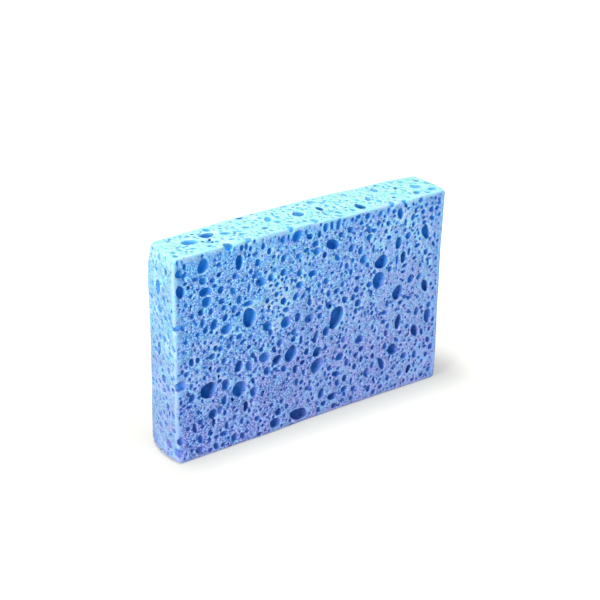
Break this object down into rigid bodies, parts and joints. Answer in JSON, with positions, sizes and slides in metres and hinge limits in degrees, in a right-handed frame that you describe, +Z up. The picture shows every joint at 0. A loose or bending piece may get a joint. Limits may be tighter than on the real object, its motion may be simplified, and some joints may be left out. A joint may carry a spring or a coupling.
{
  "type": "cellulose sponge",
  "caption": "Blue rectangular cellulose sponge with open pores on every side, standing on a long narrow side.",
  "frame": {"origin": "middle of the underside, on the surface that the sponge stands on", "axes": "+X along the length, +Y through the thickness, +Z up along the width"},
  "size_m": [0.115, 0.0186, 0.08],
  "materials": {
    "foam": "matte open-pored cellulose foam, pale blue with deeper blue pores"
  },
  "bodies": {
    "root": {"sponge": "foam"}
  },
  "joints": []
}
